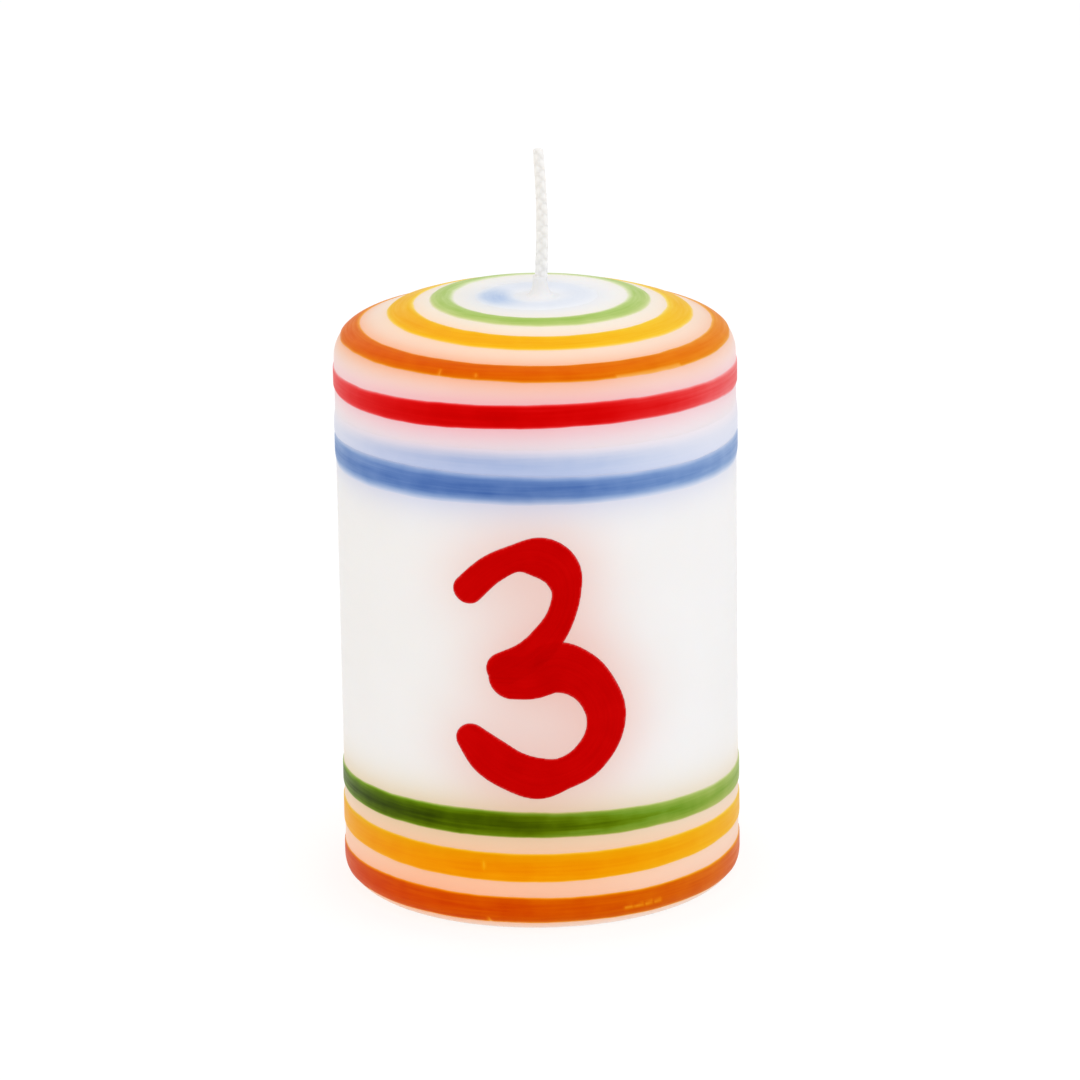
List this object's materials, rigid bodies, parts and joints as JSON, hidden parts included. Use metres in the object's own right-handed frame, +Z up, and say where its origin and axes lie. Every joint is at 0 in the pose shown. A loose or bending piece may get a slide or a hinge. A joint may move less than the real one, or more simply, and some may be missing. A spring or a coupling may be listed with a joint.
{
  "type": "pillar candle",
  "caption": "Small round pillar candle of white wax with a cotton wick, hand-painted stripes and rings, and a large painted numeral on its side.",
  "frame": {"origin": "middle of the base, on the surface that the candle stands on", "axes": "+Z up along the body towards the wick; the painted numeral faces -Y; +X is to the right as the numeral is read"},
  "size_m": [0.0502, 0.0502, 0.0935],
  "materials": {
    "white_wax": "satin, translucent cast wax",
    "waxed_cotton": "braided cotton soaked in wax",
    "tinplate": "bright tin",
    "pale_blue_paint": "thin brushed coat of coloured wax",
    "blue_paint": "brushed coat of coloured wax",
    "red_paint": "brushed coat of coloured wax",
    "orange_paint": "brushed coat of coloured wax",
    "yellow_paint": "brushed coat of coloured wax",
    "green_paint": "brushed coat of coloured wax"
  },
  "bodies": {
    "root": {"wax_body": "white_wax", "wick": "waxed_cotton", "wick_holder": "tinplate", "centre_ring": "pale_blue_paint", "green_ring": "green_paint", "yellow_ring": "yellow_paint", "orange_ring": "orange_paint", "red_stripe": "red_paint", "pale_blue_stripe": "pale_blue_paint", "blue_stripe": "blue_paint", "numeral_three": "red_paint", "low_green_stripe": "green_paint", "low_yellow_stripe": "yellow_paint", "low_orange_stripe": "orange_paint"}
  },
  "joints": []
}
